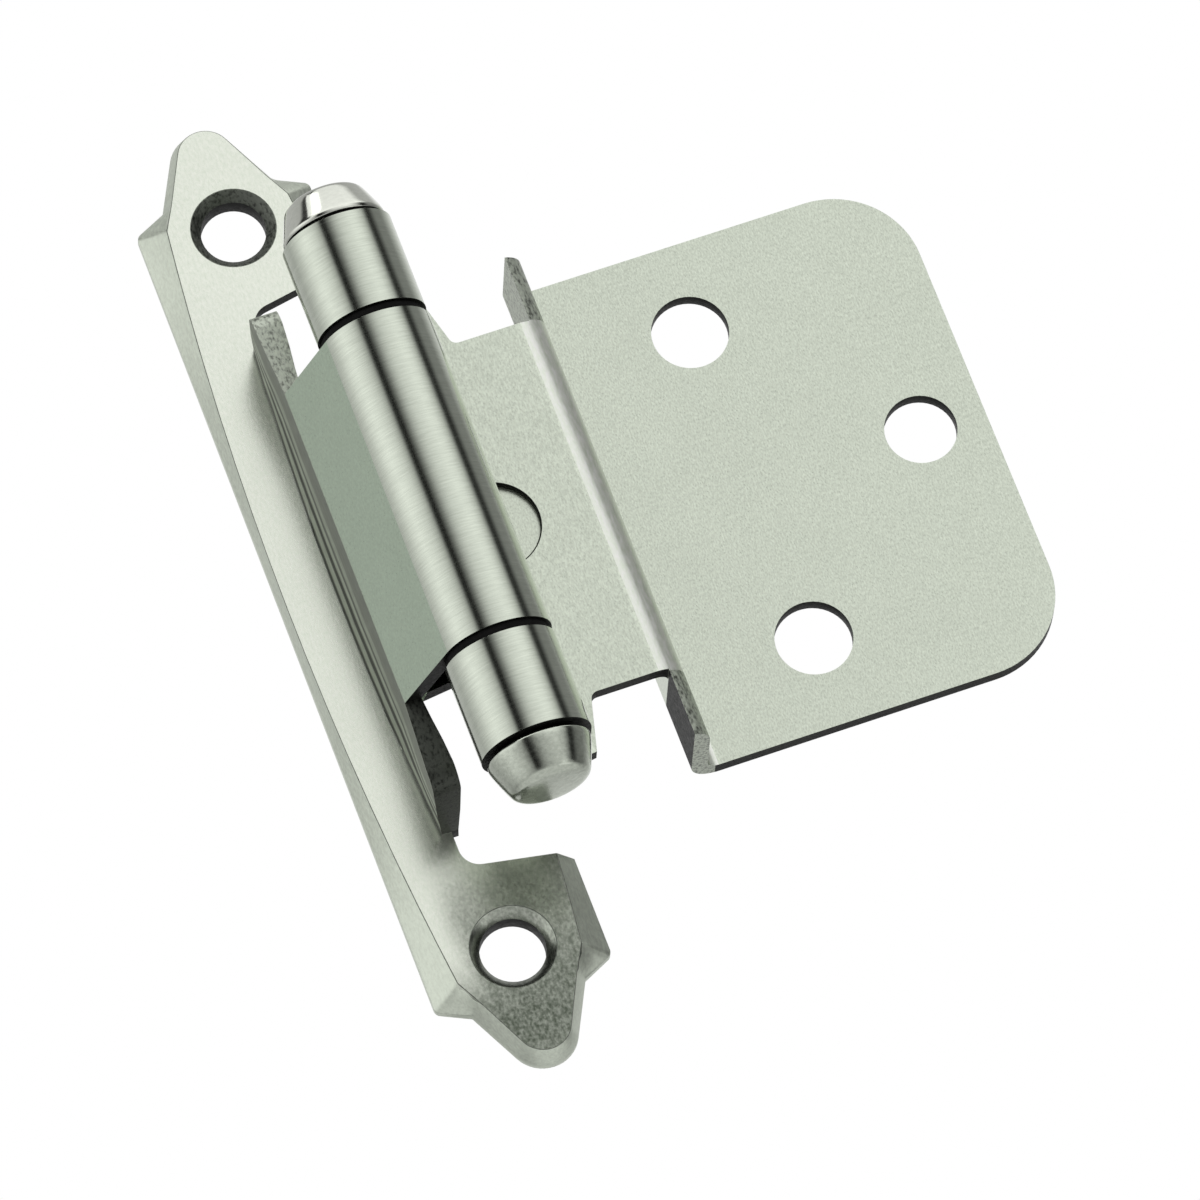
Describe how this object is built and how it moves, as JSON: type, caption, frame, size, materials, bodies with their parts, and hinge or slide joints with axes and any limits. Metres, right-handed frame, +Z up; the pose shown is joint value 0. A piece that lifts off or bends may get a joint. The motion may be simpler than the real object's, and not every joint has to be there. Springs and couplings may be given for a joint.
{
  "type": "spring loaded door hinge",
  "caption": "Self-closing cabinet hinge for a lipped door: leaf-shaped frame wing, stepped door wing, round barrel with domed tips and a coil spring on the pin.",
  "frame": {"origin": "midway between the two frame screw holes, on the plane of the cabinet's face", "axes": "+X from the cabinet frame towards the door, +Z up along the pin, -Y out of the cabinet towards the viewer"},
  "size_m": [0.0521, 0.0223, 0.074],
  "materials": {
    "satin_nickel": "satin brushed",
    "polished_nickel": "bright satin",
    "pin_steel": "drawn",
    "spring_steel": "dark oiled",
    "black_nylon": "matte"
  },
  "bodies": {
    "frame": {"frame_wing": "satin_nickel", "upper_bushing": "black_nylon", "lower_bushing": "black_nylon", "closing_spring": "spring_steel"},
    "door": {"door_wing": "satin_nickel", "hinge_pin": "pin_steel", "upper_tip": "polished_nickel", "lower_tip": "polished_nickel"}
  },
  "joints": [
    {"name": "door_swing", "type": "hinge", "parent": "frame", "child": "door", "pos_m": [0.0045, -0.01475, 0], "axis": [0, 0, -1], "range_deg": [0, 180], "stiffness_Nm_per_rad": 0.08, "springref_deg": -40.11, "deforming": ["closing_spring"]}
  ]
}
